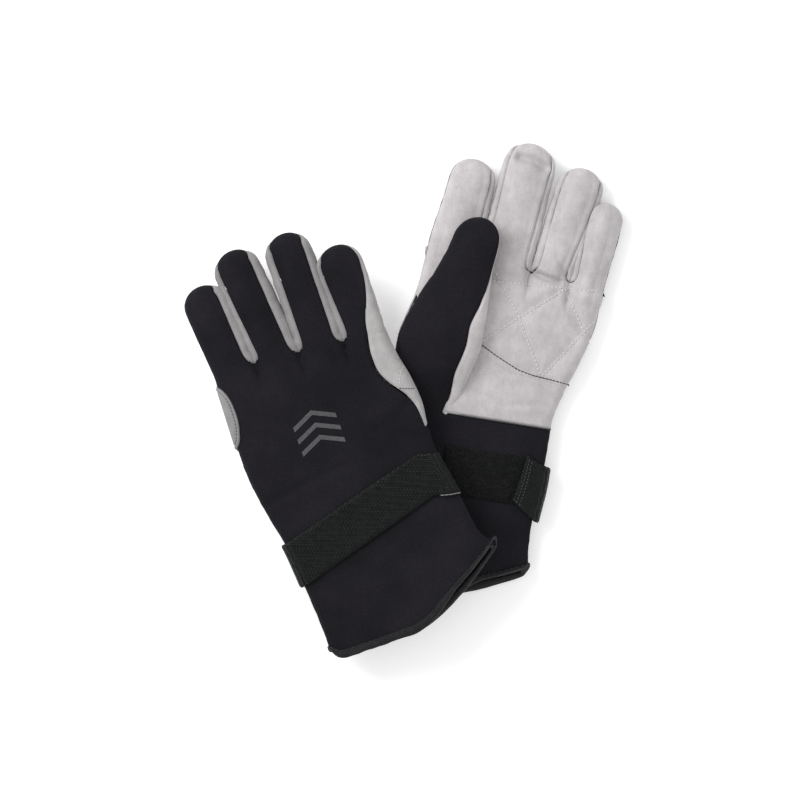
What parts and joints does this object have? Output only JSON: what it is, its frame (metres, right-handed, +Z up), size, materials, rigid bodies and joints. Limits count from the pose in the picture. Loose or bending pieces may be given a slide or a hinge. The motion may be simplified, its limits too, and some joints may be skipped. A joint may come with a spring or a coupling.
{
  "type": "sailing gloves",
  "caption": "Pair of long-cuff neoprene and suede-palm sailing gloves lying flat, one back up across one palm up, with wrist straps and thumbs folded over the palms.",
  "frame": {"origin": "on the floor under the middle of the pair's bounding box", "axes": "+Y towards the fingertips, +X to the right as the pair is seen from above, +Z up away from the floor"},
  "size_m": [0.2931, 0.3424, 0.0459],
  "materials": {
    "neoprene": "matt",
    "suede": "napped",
    "suede_mid": "napped",
    "webbing": "ribbed weave, slight sheen",
    "pad": "looped pile",
    "binding": "matt"
  },
  "bodies": {
    "lower_hand": {"lower_back_panel": "neoprene", "lower_palm_panel": "suede", "lower_thumb_root": "neoprene", "lower_index_wedge": "suede", "lower_cuff_panel": "neoprene", "lower_hem_binding": "binding", "lower_palm_patch": "suede", "lower_edge_guard": "suede_mid", "lower_strap": "webbing", "lower_loop_pad": "pad"},
    "lower_tab": {"lower_strap_tab": "webbing", "lower_hook_pad": "pad"},
    "lower_thumb": {"lower_thumb_back": "neoprene", "lower_thumb_front": "suede"},
    "lower_index": {"lower_index_back": "neoprene", "lower_index_front": "suede", "lower_index_wall_outward": "suede"},
    "lower_middle": {"lower_middle_back": "neoprene", "lower_middle_front": "suede", "lower_middle_wall_thumbward": "suede", "lower_middle_wall_outward": "suede"},
    "lower_ring": {"lower_ring_back": "neoprene", "lower_ring_front": "suede", "lower_ring_wall_thumbward": "suede", "lower_ring_wall_outward": "suede"},
    "lower_little": {"lower_little_back": "neoprene", "lower_little_front": "suede", "lower_little_wall_thumbward": "suede"},
    "upper_hand": {"upper_back_panel": "neoprene", "upper_palm_panel": "suede", "upper_thumb_root": "neoprene", "upper_index_wedge": "suede", "upper_cuff_panel": "neoprene", "upper_hem_binding": "binding", "upper_palm_patch": "suede", "upper_edge_guard": "suede_mid", "upper_strap": "webbing", "upper_loop_pad": "pad"},
    "upper_tab": {"upper_strap_tab": "webbing", "upper_hook_pad": "pad"},
    "upper_thumb": {"upper_thumb_back": "neoprene", "upper_thumb_front": "suede"},
    "upper_little": {"upper_little_back": "neoprene", "upper_little_front": "suede", "upper_little_wall_thumbward": "suede"},
    "upper_ring": {"upper_ring_back": "neoprene", "upper_ring_front": "suede", "upper_ring_wall_thumbward": "suede", "upper_ring_wall_outward": "suede"},
    "upper_middle": {"upper_middle_back": "neoprene", "upper_middle_front": "suede", "upper_middle_wall_thumbward": "suede", "upper_middle_wall_outward": "suede"},
    "upper_index": {"upper_index_back": "neoprene", "upper_index_front": "suede", "upper_index_wall_outward": "suede"}
  },
  "joints": [
    {"name": "upper_lift", "type": "slide", "parent": "lower_hand", "child": "upper_hand", "axis": [0, 0, 1], "range_m": [0, 0.2]},
    {"name": "upper_little_flex", "type": "hinge", "parent": "upper_hand", "child": "upper_little", "pos_m": [-0.1133, 0.02267, 0.00682], "axis": [-0.9588, -0.2376, -0.1557], "range_deg": [0, 70]},
    {"name": "upper_ring_flex", "type": "hinge", "parent": "upper_hand", "child": "upper_ring", "pos_m": [-0.08439, 0.02983, 0.01151], "axis": [-0.9588, -0.2376, -0.1557], "range_deg": [0, 70]},
    {"name": "upper_middle_flex", "type": "hinge", "parent": "upper_hand", "child": "upper_middle", "pos_m": [-0.0551, 0.03709, 0.01626], "axis": [-0.9588, -0.2376, -0.1557], "range_deg": [0, 70]},
    {"name": "upper_index_flex", "type": "hinge", "parent": "upper_hand", "child": "upper_index", "pos_m": [-0.02638, 0.04421, 0.02093], "axis": [-0.9588, -0.2376, -0.1557], "range_deg": [0, 70]},
    {"name": "lower_index_flex", "type": "hinge", "parent": "lower_hand", "child": "lower_index", "pos_m": [0.032, 0.10132, 0.016], "axis": [0.962, -0.273, 0], "range_deg": [0, 64]},
    {"name": "lower_middle_flex", "type": "hinge", "parent": "lower_hand", "child": "lower_middle", "pos_m": [0.06534, 0.09186, 0.016], "axis": [0.962, -0.273, 0], "range_deg": [0, 68]},
    {"name": "lower_ring_flex", "type": "hinge", "parent": "lower_hand", "child": "lower_ring", "pos_m": [0.09576, 0.08322, 0.016], "axis": [0.962, -0.273, 0], "range_deg": [0, 70]},
    {"name": "lower_little_flex", "type": "hinge", "parent": "lower_hand", "child": "lower_little", "pos_m": [0.12027, 0.07627, 0.016], "axis": [0.962, -0.273, 0], "range_deg": [0, 70]},
    {"name": "upper_thumb_lift", "type": "hinge", "parent": "upper_hand", "child": "upper_thumb", "pos_m": [-0.0308, -0.03096, 0.01413], "axis": [-0.7414, -0.6551, -0.1455], "range_deg": [0, 50]},
    {"name": "lower_thumb_lift", "type": "hinge", "parent": "lower_hand", "child": "lower_thumb", "pos_m": [0.01577, 0.03651, 0.0196], "axis": [0.9302, -0.367, 0], "range_deg": [0, 80]},
    {"name": "upper_tab_peel", "type": "hinge", "parent": "upper_hand", "child": "upper_tab", "pos_m": [-0.06686, -0.10461, 0.00987], "axis": [-0.435, 0.9001, -0.0246], "range_deg": [0, 110]},
    {"name": "lower_tab_peel", "type": "hinge", "parent": "lower_hand", "child": "lower_tab", "pos_m": [0.08318, -0.05917, 0.01702], "axis": [0.213, 0.977, -0.0076], "range_deg": [0, 110]}
  ],
  "couplings": [
    {"joint": "lower_index_flex", "follows": "lower_thumb_lift", "ratio": 0.8},
    {"joint": "lower_middle_flex", "follows": "lower_thumb_lift", "ratio": 0.85}
  ]
}
